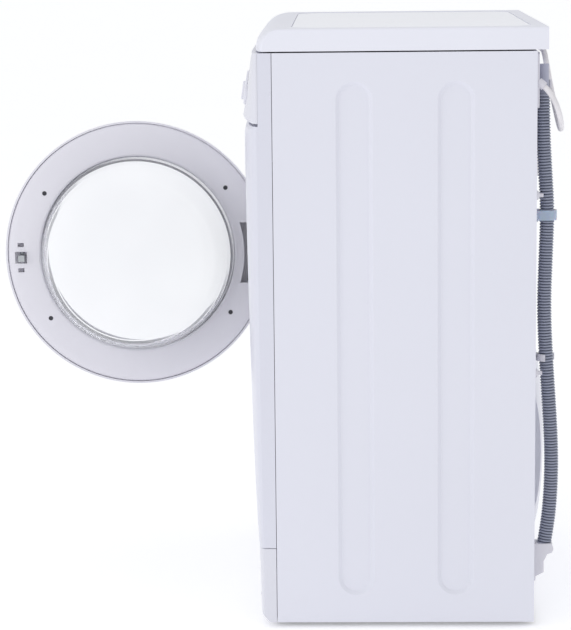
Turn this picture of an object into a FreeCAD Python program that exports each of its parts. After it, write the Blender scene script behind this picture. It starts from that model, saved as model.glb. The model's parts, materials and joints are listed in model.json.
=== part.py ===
import FreeCAD, Part
import math
import os

# Slim front-loading washing machine with its porthole door standing open at 90 degrees.
# Millimetres, +Z up. The origin is on the floor, at the middle of the cabinet's plan.
# -Y is the front, +Y the back, and +X the right-hand side seen from the front.

V = FreeCAD.Vector
X_AXIS = V(1, 0, 0)
Y_AXIS = V(0, 1, 0)
Z_AXIS = V(0, 0, 1)

# ---- Driving dimensions: cabinet ----
width = 595.0
height = 850.0
panel_front = -183.0          # front edge of the side panels
panel_rear = 182.0            # rear edge of the side panels
foot_height = 8.0             # floor to the cabinet's bottom edge
lid_thickness = 31.0
sheet = 1.0                   # steel sheet of the cabinet
seam = 0.8                    # gap between neighbouring panels
flange = 12.0                 # depth of the side panels' folded edges
half = width / 2
panel_top = height - lid_thickness - 2.0
lid_bottom = height - lid_thickness

# Pressed ribs of the side panels
rib_width = 51.0
rib_depth = 4.0
rib_draft = 5.0
rib_bottom = 48.4
rib_top_margin = 39.7         # from the panel's top edge to the rib's end
rib_front_margin = 113.0      # from the panel's front edge to the front rib's middle
rib_rear_margin = 111.3       # from the panel's rear edge to the rear rib's middle
rib_fillet = 2.5

# Lid
lid_front = -208.0
lid_overhang = 15.3           # past the back of the side panels
lid_flank = -196.0            # where the crowned front meets each side
lid_nose_radius = 28.0
lid_nose_steps = 14
lid_edge_radius = 3.0
inlay_corner = 38.0
lid_border = 32.0             # width of the frame round the inlay
lid_front_border = 51.0
lid_rear_border = 19.5
lid_ledge = 14.0
inlay_drop = 0.8
inlay_clearance = 0.4

# Front panel, kickplate and fascia: crowned fronts with a soft corner each side
crown_power = 6               # how square the crowned front is
kick_top = 116.0
panel_shoulder = height - 134.0
kick_edge = -200.5            # where the crown begins on each flank, at the bottom
panel_edge = -204.7           # and at the top
kick_crown = 7.5
low_crown = 10.6
mid_crown = 18.2
high_crown = 20.9
shoulder_crown = 15.4
fascia_edge = -205.5
fascia_bottom = height - 130.0
fascia_lip = height - 123.0
fascia_wall = 3.0
lip_crown = 22.2
lip_bottom_crown = 13.4
fascia_top_crown = 5.5
band_low = fascia_lip + 21.0      # heights where the fascia's crown is set
band_high = height - 56.0
band_low_crown = 18.0
band_high_crown = 11.6
carrier_front = -203.0        # flat upper part of the front panel, behind the fascia

# Porthole and door
door_z = 469.6
door_radius = 213.0
door_ring_radius = 209.2
ring_opening = 157.0
ring_thickness = 3.0
door_plane = -220.0           # inner face of the closed door
door_depth = 34.0
door_wall = 3.0
door_clearance = 5.0
dish_floor = -217.5
port_radius = 166.0
glass_thickness = 5.0
glass_root = 154.5
glass_tip = 136.0
glass_reach = 62.0            # how far the bowl stands past the door's inner face
hinge_x = -206.75
hinge_y = -211.75
hinge_half = 49.0             # half the height of the door's hinge recess
hinge_recess_radius = 172.0   # the recess begins this far from the door's middle
pin_radius = 3.0
pin_clearance = 0.05
knuckle_radius = 6.0
knuckle_half = 38.0
knuckle_gap = 0.6
knuckle_height = 12.0
well_left = -256.0
well_right = -190.0
well_half = 106.0
well_floor = -200.0
screw_circle = 177.5
door_screw_angles = (33.5, -36.4, 143.7, -146.8)
screw_radius = 3.5
handle_half = 62.0            # half the height of the handle's lever
handle_pin_x = 178.0
handle_pin_y = door_plane - 29.0
handle_pin_radius = 1.5
latch_radius = 188.7
latch_window = 19.0

# Controls
panel_tilt = 8.0              # lean of the fascia, degrees
control_z = height - 94.0
knob_x = 55.0
knob_radius = 22.0
knob_skirt = 7.0
knob_height = 11.0
button_radius = 7.0
button_pitch = 26.0
button_x = 118.0
button_z = height - 106.0
start_x = 232.0
start_radius = 13.0
button_travel = 2.0
button_clearance = 0.4
display_x = 144.0
display_width = 74.0
display_height = 24.0
display_z = height - 72.0
drawer_left = -272.0
drawer_right = -92.0
drawer_bottom = height - 115.0
drawer_top = height - 47.0
drawer_depth = 190.0
drawer_clearance = 1.0
drawer_wall = 2.5
housing_wall = 2.5

# Tub, drum and drive
tub_radius = 255.0
tub_wall = 4.0
tub_front_y = -140.0
tub_joint_y = -20.0
tub_back_y = 114.0
neck_length = 15.0
neck_radius = 172.0
drum_radius = 235.0
drum_sheet = 1.5
drum_front_y = -128.0
drum_back_y = 92.0
drum_opening = 160.0
lifter_count = 3
lifter_height = 42.0
lifter_width = 46.0
shaft_radius = 12.5
bearing_radius = 31.0
bearing_width = 15.0
hub_radius = 50.0
hub_back_y = 150.0
pulley_y = 156.0
pulley_width = 12.0
drum_pulley_radius = 132.0
motor_pulley_radius = 11.0
motor_z = 142.0
motor_radius = 56.0
motor_length = 120.0
belt_thickness = 3.0
belt_gap = 0.3
float_travel = 8.0

# Suspension
spring_x = 250.0
spring_y = 32.0
spring_bottom = 640.0
spring_top = height - 78.0
spring_radius = 9.0
spring_wire = 1.8
spring_turns = 14
damper_x = 172.0
damper_y = 20.0
damper_radius = 14.0
rod_radius = 5.0
rod_clearance = 0.05

# Pump and drain
pump_x = 200.0
pump_z = 64.0
pump_radius = 30.0
filter_radius = 26.0
flap_width = 100.0
flap_height = 74.0
sump_y = -90.0
sump_radius = 16.0

# Transit bolts
transit_x = half - 13.5
transit_heights = (617.0, 366.0)

# Water inlet
inlet_x = -182.0
inlet_z = height - 85.0
spigot_radius = 13.2
spigot_reach = 14.0

# Rear cover
cover_half = 246.0
cover_bottom = 66.0
cover_top = height - 186.0
cover_corner = 60.0
cover_rise = 3.0
bulge_half_x = cover_half + 14.0
bulge_half_z = 175.0
bulge_height = 25.0
bulge_z = 238.0

# Base frame and feet
rail_width = 56.0             # the front and rear rails
side_rail_width = 40.0
rail_top = 32.0
rail_sheet = 2.0
foot_x = half - 59.5
foot_y = 138.0
foot_radius = 20.0
stud_radius = 5.0

# Drain hose and mains lead: outer diameters, then their routes, chosen by hand
hose_radius = 10.0
bracket_half = 13.0
lead_radius = 4.0
hose_route = [
    V(262, 196.0, 101), V(262, 203.0, 140), V(262, 207.2, 190), V(262, 208.0, 245),
    V(262, 204.5, 310), V(262, 199.0, 385), V(262, 195.6, 455), V(262, 197.5, 525),
    V(262, 199.8, 592), V(262, 196.2, 648), V(261.6, 193.2, 698), V(260.8, 192.4, 738),
    V(259.4, 192.4, 770), V(257, 192.3, 797),
]
lead_route = [
    V(288, 185.9, 772.6), V(288.8, 192.2, 767.6), V(290.2, 198.8, 760), V(292, 204.8, 750.4),
    V(292.6, 209.6, 739.6), V(289.8, 213.4, 727.4), V(282.3, 216, 716.2), V(271, 217.2, 708.7),
    V(257.5, 217.6, 706), V(244, 217.2, 708.7), V(232.7, 216, 716.2), V(225.2, 213.8, 727.6),
    V(222.6, 211, 741), V(222.6, 207.7, 755), V(222.2, 205, 769), V(220.6, 202.6, 782),
    V(215.8, 200.6, 794.6), V(206.8, 199.4, 804.8), V(194.5, 198.6, 810.9), V(178.5, 198.2, 812.8),
    V(158, 198, 812.9), V(134, 197.3, 812.9), V(110, 196.8, 812.9), V(88, 196.4, 812.9),
    V(66, 196.2, 812), V(45, 196, 807), V(26, 196, 798), V(10, 196, 784.6),
    V(-2, 196, 768), V(-9.4, 196, 750), V(-12, 196, 731.5), V(-12, 196, 714),
]
tail_route = [
    V(17, 204.1, 747), V(-2.4, 204.6, 744.4), V(-20.5, 205.4, 737), V(-36, 206.0, 725),
    V(-48, 206.0, 709.5), V(-55.6, 205.7, 691.4), V(-58.4, 205.4, 677), V(-58.4, 205.2, 664),
]
coil_x = 36.0
coil_z = 700.0
coil_y = 200.0
coil_middle = 44.0            # radius at the middle of the turns
coil_half_width = 8.6
coil_half_depth = 9.2

NODES = []


# ---- Small helpers ----
def box(x0, x1, y0, y1, z0, z1):
    return Part.makeBox(x1 - x0, y1 - y0, z1 - z0, V(x0, y0, z0))


def rod(radius, start, end):
    axis = end - start
    return Part.makeCylinder(radius, axis.Length, start, axis)


def tube(outer, inner, start, end):
    return rod(outer, start, end).cut(rod(inner, start, end))


def fuse(shapes):
    body = shapes[0].multiFuse(shapes[1:]) if len(shapes) > 1 else shapes[0]
    return body.removeSplitter()


def joined(shapes):
    """Fused as it is, for crowned forms whose neighbouring faces stay apart."""
    return shapes[0].multiFuse(shapes[1:])


def mirrored(shape):
    return shape.mirror(V(0, 0, 0), X_AXIS)


def disc(outer, y0, y1, x=0.0, z=0.0):
    return rod(outer, V(x, y0, z), V(x, y1, z))


def ring(outer, inner, y0, y1, x=0.0, z=0.0):
    return disc(outer, y0, y1, x, z).cut(disc(inner, y0 - 1, y1 + 1, x, z))


def turned(points, x=0.0, z=0.0):
    """A closed outline of (radius, y) points, turned about the Y axis through x, z."""
    outline = [V(x + radius, y, z) for radius, y in points]
    face = Part.Face(Part.makePolygon(outline + [outline[0]]))
    return face.revolve(V(x, 0, z), Y_AXIS, 360)


def rounded_plate(x0, x1, z0, z1, y0, y1, radius):
    plate = box(x0, x1, y0, y1, z0, z1)
    uprights = [e for e in plate.Edges if abs(e.tangentAt(e.FirstParameter).y) > 0.99]
    return plate.makeFillet(radius, uprights)


def stadium(x, y, z0, z1, half_width):
    """A standing slot outline in the plane at x, round at both ends."""
    low, high = z0 + half_width, z1 - half_width
    a, b = V(x, y - half_width, low), V(x, y + half_width, low)
    c, d = V(x, y + half_width, high), V(x, y - half_width, high)
    bottom = Part.Arc(a, V(x, y, z0), b).toShape()
    top = Part.Arc(c, V(x, y, z1), d).toShape()
    return Part.Wire([bottom, Part.makeLine(b, c), top, Part.makeLine(d, a)])


def save(name, shape):
    if not shape.isValid() or shape.Volume <= 0:
        raise ValueError(name + " isn't a sound solid")
    NODES.append(name)
    shape.exportStep("parts/" + name + ".step")


# ---- Cabinet ----
def rib_middles():
    return (panel_front + rib_front_margin, panel_rear - rib_rear_margin)


def rib_body(middle, grow, depth):
    """The pressed space of one rib, widened by grow, as deep as depth."""
    outer = rib_width / 2 + grow
    inner = outer - rib_draft
    top = panel_top - rib_top_margin + grow
    bottom = rib_bottom - grow
    mouth = stadium(half, middle, bottom, top, outer)
    floor = stadium(half - depth, middle, bottom + rib_draft, top - rib_draft, inner)
    return Part.makeLoft([mouth, floor], True, True)


def rib_edges(shape):
    """Edges of the ribs' rims and floors, apart from the panel's own outline."""
    planes = (half, half - rib_depth)
    found = []
    for edge in shape.Edges:
        box_ = edge.BoundBox
        flat = box_.XLength < 1e-4 and any(abs(box_.XMin - x) < 1e-4 for x in planes)
        inside = box_.YMin > panel_front + 20 and box_.YMax < panel_rear - 20
        if flat and inside and box_.ZMin > rib_bottom - 5:
            found.append(edge)
    return found


def side_panel():
    block = box(half - flange, half, panel_front, panel_rear, foot_height, panel_top)
    for middle in rib_middles():
        block = block.cut(rib_body(middle, 0, rib_depth))
    block = block.makeFillet(rib_fillet, rib_edges(block))
    hollow = box(half - flange - 1, half - sheet, panel_front + sheet, panel_rear - sheet,
                 foot_height + sheet, panel_top - sheet)
    for middle in rib_middles():
        hollow = hollow.cut(rib_body(middle, sheet + 0.6, rib_depth + sheet))
    hanger = box(spring_x - spring_radius - 3.5, half - sheet, spring_y - 14, spring_y + 14,
                 spring_top, spring_top + 4)
    return fuse([block.cut(hollow), hanger])


def rear_panel():
    inner = half - flange
    plate = box(-inner + seam, inner - seam, panel_rear - sheet, panel_rear,
                foot_height + 2, panel_top)
    opening = rounded_plate(-cover_half + 18, cover_half - 18, cover_bottom + 18,
                            cover_top - 18, panel_rear - 5, panel_rear + 5, cover_corner - 14)
    start = hose_route[0]
    outlet = disc(hose_radius + 4, panel_rear - 5, panel_rear + 5, start.x, start.z - 5)
    inlet = disc(spigot_radius + 2.0, panel_rear - 5, panel_rear + 5, inlet_x, inlet_z)
    return plate.cut(opening).cut(outlet).cut(inlet)


def bulge(shrink):
    """The lower swelling of the rear cover: half of a flattened ball."""
    matrix = FreeCAD.Matrix()
    matrix.scale(bulge_half_x - shrink, bulge_height + cover_rise - shrink,
                 bulge_half_z - shrink)
    ball = Part.makeSphere(1.0).transformGeometry(matrix)
    ball.translate(V(0, panel_rear, bulge_z))
    return ball.common(box(-400, 400, panel_rear - 0.01, panel_rear + 60, 0, 700))


def cover_outline(shrink, y1):
    return rounded_plate(-cover_half + shrink, cover_half - shrink, cover_bottom + shrink,
                         cover_top - shrink, panel_rear, y1, cover_corner - shrink)


def rear_cover():
    rim = cover_outline(0, panel_rear + sheet)
    field = cover_outline(14, panel_rear + cover_rise)
    field = field.makeFillet(2.0, [e for e in field.Edges
                                   if abs(e.BoundBox.YMin - panel_rear - cover_rise) < 1e-4])
    limit = cover_outline(20, panel_rear + 60)
    swell = bulge(0).common(limit)
    inner_limit = cover_outline(21, panel_rear + 60)
    hollow = fuse([cover_outline(15, panel_rear + cover_rise - sheet),
                   bulge(sheet).common(inner_limit)])
    return fuse([rim, field, swell]).cut(hollow)


def rails(inset, z0, z1):
    """The base frame's five rails, or the space inside them when inset is their sheet."""
    inner = half - flange - 1 - inset
    front, rear = panel_front + 2 + inset, panel_rear - 2 - inset
    wide = rail_width - 2 * inset
    narrow = side_rail_width - 2 * inset
    return fuse([
        box(-inner, inner, front, front + wide, z0, z1),
        box(-inner, inner, rear - wide, rear, z0, z1),
        box(-inner, -inner + narrow, front, rear, z0, z1),
        box(inner - narrow, inner, front, rear, z0, z1),
        box(-inner, inner, damper_y - 22 + inset, damper_y + 22 - inset, z0, z1),
    ])


def base_frame():
    bottom = foot_height + 1
    frame = rails(0, bottom, rail_top).cut(rails(rail_sheet, bottom - 1, rail_top - rail_sheet))
    for x in (-foot_x, foot_x):
        for y in (-foot_y, foot_y):
            frame = frame.cut(rod(stud_radius + 0.05, V(x, y, 0), V(x, y, 60)))
    saddle = box(pump_x - 30, pump_x + 30, panel_front + 2 + rail_width - 4, -70, 20, pump_z)
    frame = frame.fuse(saddle)
    keep_out = disc(pump_radius + 0.1, -190, -40, pump_x, pump_z)
    return frame.cut(keep_out).removeSplitter()


def feet():
    made = []
    for x in (-foot_x, foot_x):
        for y in (-foot_y, foot_y):
            pad = rod(foot_radius, V(x, y, 0), V(x, y, foot_height - 1))
            nut = Part.makeCone(foot_radius - 4, 8, 2, V(x, y, foot_height - 1))
            stud = rod(stud_radius, V(x, y, foot_height + 1), V(x, y, rail_top + 12))
            under = rail_top - rail_sheet
            locknut = rod(stud_radius + 4, V(x, y, under - 5), V(x, y, under))
            made.append(fuse([pad, nut, stud, locknut]))
    return Part.makeCompound(made)


def lid_blank():
    """The lid's outer form: crowned plans stacked up the round nose, with soft top edges."""
    back = panel_rear + lid_overhang
    wires = [crown_section(lid_bottom, lid_flank, lid_flank - lid_front, 0, back)]
    for step in range(lid_nose_steps + 1):
        angle = math.radians(90 * step / lid_nose_steps)
        z = height - lid_nose_radius * (1 - math.sin(angle))
        edge = lid_flank + lid_nose_radius * (1 - math.cos(angle))
        climb = max(0.0, 1 - (height - z) / lid_edge_radius)
        inset = lid_edge_radius * (1 - math.sqrt(1 - climb ** 2))
        wires.append(crown_section(z, edge, lid_flank - lid_front, inset, back))
    return Part.makeLoft(wires, True, True)


def lid_opening(grow, z0, z1):
    return standing_plate(-half + lid_border - grow, half - lid_border + grow,
                          lid_front + lid_front_border - grow,
                          panel_rear + lid_overhang - lid_rear_border + grow, z0, z1,
                          inlay_corner + grow)


def standing_plate(x0, x1, y0, y1, z0, z1, radius):
    """A flat plate whose corners are round in plan."""
    plate = box(x0, x1, y0, y1, z0, z1)
    uprights = [e for e in plate.Edges if abs(e.tangentAt(e.FirstParameter).z) > 0.99]
    return plate.makeFillet(radius, uprights)


def lid_frame():
    frame = lid_blank()
    frame = frame.cut(lid_opening(0, lid_bottom + 6, height + 1))
    return frame.cut(lid_opening(-lid_ledge, lid_bottom - 1, height))


def lid_inlay():
    board = lid_opening(-inlay_clearance, lid_bottom + 6, height - inlay_drop)
    top = [e for e in board.Edges if e.BoundBox.ZMin > height - inlay_drop - 1e-3]
    return board.makeFillet(1.0, top)


# ---- Crowned fronts ----
CROWN_STATIONS = (0, 0.3, 0.55, 0.72, 0.84, 0.92, 0.965, 0.99, 1)


def crown_section(z, edge, crown, inset, back):
    """A plan outline at z: crowned front, two flanks and a straight back."""
    a = half - inset
    b = crown - inset
    left = [V(-a * f, edge - b * math.sqrt(1 - f ** crown_power), z)
            for f in reversed(CROWN_STATIONS)]
    right = [V(-p.x, p.y, z) for p in reversed(left[:-1])]
    front = Part.BSplineCurve()
    front.interpolate(Points=left + right, Parameters=crown_parameters())
    return Part.Wire([
        front.toShape(),
        Part.makeLine(V(a, edge, z), V(a, back, z)),
        Part.makeLine(V(a, back, z), V(-a, back, z)),
        Part.makeLine(V(-a, back, z), V(-a, edge, z)),
    ])


def crown_parameters():
    """One spacing along the crowned line, shared by all sections so that they loft cleanly."""
    rise = mid_crown / half
    line = [(f, rise * math.sqrt(1 - f ** crown_power)) for f in CROWN_STATIONS]
    steps = [math.dist(line[i], line[i + 1]) for i in range(len(line) - 1)]
    steps = list(reversed(steps)) + steps
    places = [0.0]
    for step in steps:
        places.append(places[-1] + step)
    return [place / places[-1] for place in places]


def crowned(stations, inset, back, ruled=False):
    wires = [crown_section(z, edge, crown, inset, back) for z, edge, crown in stations]
    return Part.makeLoft(wires, True, ruled)


def panel_stations(grow):
    """Height, edge and crown of the front panel's lower part, trimmed by grow at its ends."""
    low = kick_top + 1
    span = panel_shoulder - low
    rise = panel_edge - kick_edge
    return [
        (low + grow, kick_edge + 0.15 * rise, low_crown),
        (low + 0.22 * span, kick_edge + 0.56 * rise, 0.5 * (low_crown + mid_crown) + 0.6),
        (low + 0.53 * span, kick_edge + 0.90 * rise, mid_crown),
        (low + 0.86 * span, panel_edge, high_crown),
        (panel_shoulder - 12, panel_edge, high_crown),
    ]


def shoulder_stations(grow):
    return [
        (panel_shoulder - 12, panel_edge, high_crown),
        (panel_shoulder - 4, panel_edge, high_crown - 1.8),
        (panel_shoulder - grow, panel_edge, shoulder_crown),
    ]


def panel_form(inset):
    """The solid form of the front panel; inset makes the space inside it."""
    back = panel_front - seam + (20 if inset else 0)
    body = crowned(panel_stations(inset), inset, back)
    shoulder = crowned(shoulder_stations(inset), inset, back, True)
    carrier = box(-half + inset, half - inset, carrier_front + inset, back,
                  panel_shoulder - 20, panel_top - inset)
    return joined([body, shoulder, carrier])


def hinge_well(grow):
    well = rounded_plate(well_left - grow, well_right + grow, door_z - well_half - grow,
                         door_z + well_half + grow, -260, well_floor + grow, 14 + grow)
    return well


def dish(grow):
    return disc(door_radius + door_clearance + grow, -270, dish_floor + grow, 0, door_z)


def front_panel():
    outer = panel_form(0).cut(dish(0)).cut(hinge_well(0))
    inner = panel_form(sheet).cut(dish(sheet)).cut(hinge_well(sheet))
    panel = outer.cut(inner)
    panel = panel.cut(disc(port_radius, -300, -150, 0, door_z))
    slot = box(latch_radius - 13, latch_radius + 13, -230, -205, door_z - 18, door_z + 18)
    tray = box(drawer_left - 3, drawer_right + 3, -230, -190, drawer_bottom - 3,
               drawer_top + 3)
    controls = box(knob_x - 30, start_x + 20, -230, -190, control_z - 32, control_z + 36)
    return panel.cut(slot).cut(tray).cut(controls)


def kick_form(inset):
    back = panel_front - seam + (20 if inset else 0)
    stations = [
        (foot_height + inset, kick_edge + 8, kick_crown),
        (foot_height + 9, kick_edge, kick_crown),
        (kick_top - inset, kick_edge, low_crown),
    ]
    return crowned(stations, inset, back, True)


def flap_blank(clearance, corner, y0, y1):
    x0, x1 = pump_x - flap_width / 2, pump_x + flap_width / 2
    z0, z1 = pump_z - flap_height / 2, pump_z + flap_height / 2
    return rounded_plate(x0 + clearance, x1 - clearance, z0 + clearance, z1 - clearance,
                         y0, y1, corner)


def kickplate():
    plate = kick_form(0).cut(kick_form(2.0))
    return plate.cut(flap_blank(0, 8, -230, -195))


def filter_flap():
    skin = kick_form(0).cut(kick_form(2.0)).common(flap_blank(1.0, 11, -230, -195))
    x0, x1 = pump_x - 30, pump_x + 30
    z = pump_z - flap_height / 2 + 4
    barrel = rod(2.0, V(x0, -206.5, z), V(x1, -206.5, z))
    return joined([skin, barrel])


def fascia_stations(grow):
    return [
        (fascia_lip, fascia_edge, lip_crown),
        (band_low, fascia_edge, band_low_crown),
        (band_high, fascia_edge, band_high_crown),
        (panel_top - grow, fascia_edge, fascia_top_crown + 2),
    ]


def fascia_form(inset):
    back = carrier_front - 0.2 + (10 if inset else 0)
    upper = crowned(fascia_stations(inset), inset, back)
    lower_stations = [
        (fascia_bottom + inset, fascia_edge, lip_bottom_crown),
        (fascia_bottom + 2.5 + inset / 2, fascia_edge, lip_crown - 3),
        (fascia_lip, fascia_edge, lip_crown),
    ]
    return joined([upper, crowned(lower_stations, inset, back, True)])


def tilted(shape, x, z):
    """Turns a control built along -Y so that it stands square on the leaning fascia."""
    shape.rotate(V(x, fascia_y(x, z), z), X_AXIS, -panel_tilt)
    return shape


def fascia_y(x, z):
    """Where the fascia's face is, at a place between its middle stations."""
    share = (z - band_low) / (band_high - band_low)
    crown = band_low_crown + share * (band_high_crown - band_low_crown)
    return fascia_edge - crown * math.sqrt(1 - abs(x / half) ** crown_power)


def control_disc(radius, x, z, out, into):
    """A disc square to the fascia, from out in front of its face to into behind it."""
    y = fascia_y(x, z)
    return tilted(disc(radius, y - out, y + into, x, z), x, z)


def option_places():
    return [button_x + i * button_pitch for i in range(3)]


def fascia():
    skin = fascia_form(0).cut(fascia_form(fascia_wall))
    skin = skin.cut(box(drawer_left - drawer_clearance, drawer_right + drawer_clearance,
                        -240, -190, drawer_bottom - drawer_clearance,
                        drawer_top + drawer_clearance))
    skin = skin.cut(control_disc(8, knob_x, control_z, 10, 20))
    for x in option_places():
        skin = skin.cut(control_disc(button_radius + button_clearance, x, button_z, 10, 20))
    skin = skin.cut(control_disc(start_radius + button_clearance, start_x, control_z, 10, 20))
    return skin.cut(display_blank(0, 10, 20))


def display_blank(clearance, out, into):
    x0 = display_x - display_width / 2 + clearance
    x1 = display_x + display_width / 2 - clearance
    z0 = display_z - display_height / 2 + clearance
    z1 = display_z + display_height / 2 - clearance
    y = fascia_y(display_x, display_z)
    return tilted(rounded_plate(x0, x1, z0, z1, y - out, y + into, 3), display_x, display_z)


def program_knob():
    """A round skirt with a grip that points down from the middle."""
    y = fascia_y(knob_x, control_z)
    skirt = disc(knob_radius, y - knob_skirt, y - 0.6, knob_x, control_z)
    rim = [e for e in skirt.Edges if e.BoundBox.YMax < y - knob_skirt + 1e-3]
    skirt = skirt.makeFillet(1.5, rim)
    grip = rounded_plate(knob_x - 8, knob_x + 8, control_z - knob_radius + 1, control_z + 6,
                         y - knob_height, y - knob_skirt + 1, 5)
    nose = [e for e in grip.Edges if e.BoundBox.YMax < y - knob_height + 1e-3]
    grip = grip.makeFillet(1.5, nose)
    shaft = disc(6, y - 1, y + 14, knob_x, control_z)
    return tilted(fuse([skirt, grip, shaft]), knob_x, control_z)


def push_button(radius, x, z, proud):
    y = fascia_y(x, z)
    cap = disc(radius, y - proud, y + 6, x, z)
    rim = [e for e in cap.Edges if e.BoundBox.YMax < y - proud + 1e-3]
    return tilted(cap.makeFillet(1.0, rim), x, z)


def dispenser_housing():
    w = housing_wall
    x0, x1 = drawer_left - drawer_clearance - w, drawer_right + drawer_clearance + w
    z0, z1 = drawer_bottom - drawer_clearance - w, drawer_top + drawer_clearance + w
    y0 = carrier_front + sheet + 0.5
    y1 = y0 + drawer_depth + 12
    shell = box(x0, x1, y0, y1, z0, z1)
    return shell.cut(box(x0 + w, x1 - w, y0 - 5, y1 - w, z0 + w, z1 - w))


def detergent_drawer():
    front = fascia_form(0).common(box(drawer_left, drawer_right, -240, -201,
                                      drawer_bottom, drawer_top))
    front = front.cut(fascia_form(fascia_wall).common(
        box(drawer_left + 3, drawer_right - 3, -240, -204, drawer_bottom + 3,
            drawer_top - 3)))
    grip = box(-210, -154, -250, -212, drawer_bottom - 1, drawer_bottom + 14)
    y0 = carrier_front
    tray = box(drawer_left + 3, drawer_right - 3, y0, y0 + drawer_depth,
               drawer_bottom + 3, drawer_top - 14)
    tray = tray.fuse(box(drawer_left + 1, drawer_right - 1, y0, y0 + 3,
                         drawer_bottom + 1, drawer_top - 1))
    for x0, x1 in compartments():
        tray = tray.cut(box(x0, x1, y0 + 8, y0 + drawer_depth - 5,
                            drawer_bottom + 3 + drawer_wall, drawer_top))
    return joined([front.cut(grip), tray])


def compartments():
    """Spans along X of the drawer's three troughs: pre-wash, softener and main wash."""
    x0, x1 = drawer_left + 3 + drawer_wall, drawer_right - 3 - drawer_wall
    span = x1 - x0
    first, second = x0 + 0.27 * span, x0 + 0.54 * span
    return [(x0, first), (first + drawer_wall, second), (second + drawer_wall, x1)]


# ---- Door, built closed and then swung open ----
def opened(shape):
    shape.rotate(V(hinge_x, hinge_y, 0), Z_AXIS, -90)
    return shape


def door_outline(points):
    """Turned about the door's axis; points are (radius, depth out from the inner face)."""
    return turned([(radius, door_plane - depth) for radius, depth in points], 0, door_z)


def quarter(r0, d0, r1, d1, steps=7):
    """Points of a quarter ellipse from (r0, d0) to (r1, d1), leaving r0 square to the face."""
    points = []
    for i in range(steps + 1):
        angle = math.radians(90 * i / steps)
        points.append((r1 + (r0 - r1) * math.cos(angle), d0 + (d1 - d0) * math.sin(angle)))
    return points


def door_trim():
    r, d, w = door_radius, door_depth, door_wall
    outer = quarter(r, 3, r - 30, d)
    inner = [(160, d), (150, d - 9), (150 + w, d - 10), (161.5, d - w)]
    back = list(reversed(quarter(r - w, 3, r - 30, d - w)))
    trim = door_outline([(r, 0)] + outer + inner + back + [(r - w, 0)])
    trim = trim.cut(hinge_notch(8)).cut(handle_blank(1.0))
    return opened(fuse([trim] + handle_pins()))


def handle_pins():
    """Two ears inside the trim's outer face, each with a pin for the handle's end."""
    shapes = []
    for sign in (-1, 1):
        near, far = sorted((door_z + sign * (handle_half + 1), door_z + sign * (handle_half + 6)))
        shapes.append(box(handle_pin_x - 3, handle_pin_x + 5, door_plane - door_depth + 1,
                          handle_pin_y + 4, near, far))
        shapes.append(rod(handle_pin_radius, V(handle_pin_x, handle_pin_y, near),
                          V(handle_pin_x, handle_pin_y, far)))
        shapes.append(rod(handle_pin_radius, V(handle_pin_x, handle_pin_y, far if sign > 0 else near),
                          V(handle_pin_x, handle_pin_y, door_z + sign * (handle_half - 8))))
    return shapes


def hinge_notch(grow):
    """The recess at the door's hinge edge, from the recess radius outwards."""
    x0 = -door_radius - 5
    x1 = -hinge_recess_radius * 0.9
    notch = box(x0, x1, door_plane - 9 - grow, door_plane + 30, door_z - hinge_half - grow,
                door_z + hinge_half + grow)
    core = disc(hinge_recess_radius, door_plane - 60, door_plane + 60, 0, door_z)
    return notch.cut(core)


def door_inner_ring():
    t = ring_thickness
    r = door_ring_radius
    plate = door_outline([(r, 2.6), (r - 1.2, 1.6), (r - 4, 0.8), (r - 9, 0.2), (r - 13, 0),
                          (ring_opening + 3, 0), (ring_opening + 0.9, 0.8),
                          (ring_opening, 2.6), (ring_opening, 11), (ring_opening + t, 11),
                          (ring_opening + t, t + 0.6), (r - 13, t + 0.6), (r - 3.2, t + 1),
                          (r - 3.2, 6), (r - 0.8, 6)])
    plate = plate.cut(hinge_notch(0))
    x, s = latch_radius, latch_window / 2
    plate = plate.cut(box(x - s, x + s, door_plane - t - 2, door_plane + 1,
                          door_z - 6 - s, door_z - 6 + s))
    for offset, size in ((14.5, 3.5), (-26.5, 3.5)):
        plate = plate.cut(box(x - 5, x + 5, door_plane - t - 2, door_plane + 1,
                              door_z + offset - size, door_z + offset + size))
    for angle in door_screw_angles:
        px, pz = screw_place(angle)
        plate = plate.cut(disc(screw_radius + 0.3, door_plane - t - 2, door_plane + 1, px, pz))
    return opened(plate)


def screw_place(angle):
    a = math.radians(angle)
    return screw_circle * math.cos(a), door_z + screw_circle * math.sin(a)


def door_screws():
    made = []
    for angle in door_screw_angles:
        px, pz = screw_place(angle)
        head = disc(screw_radius, door_plane - 2.2, door_plane - 0.3, px, pz)
        shank = disc(1.6, door_plane - 13, door_plane - 2.2, px, pz)
        made.append(opened(fuse([head, shank])))
    return Part.makeCompound(made)


def door_glass():
    """A moulded bowl: a flange clamped behind the ring, a full side and a round nose."""
    t = glass_thickness
    lip = ring_opening + 8
    flange_back = 12 + t
    root, tip, reach = glass_root, glass_tip, glass_reach
    outer = [(lip, 12), (root + 1, 12), (root, 8), (root - 1, -0.2 * reach),
             (root - 4.5, -0.48 * reach), (root - 10, -0.74 * reach), (tip + 2, -0.92 * reach),
             (tip - 6, -reach - 4), (tip - 24, -reach - 7.5), (0, -reach - 9)]
    inner = [(0, -reach - 9 + t), (tip - 25, -reach - 7.5 + t), (tip - 8.5, -reach - 4 + t),
             (tip - 2.6, -0.92 * reach + 2), (root - 14.8, -0.74 * reach + 1.5),
             (root - 9.5, -0.48 * reach + 1), (root - t - 1, -0.2 * reach),
             (root - t, flange_back)]
    return opened(door_outline(outer + inner + [(lip, flange_back)]))


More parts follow.
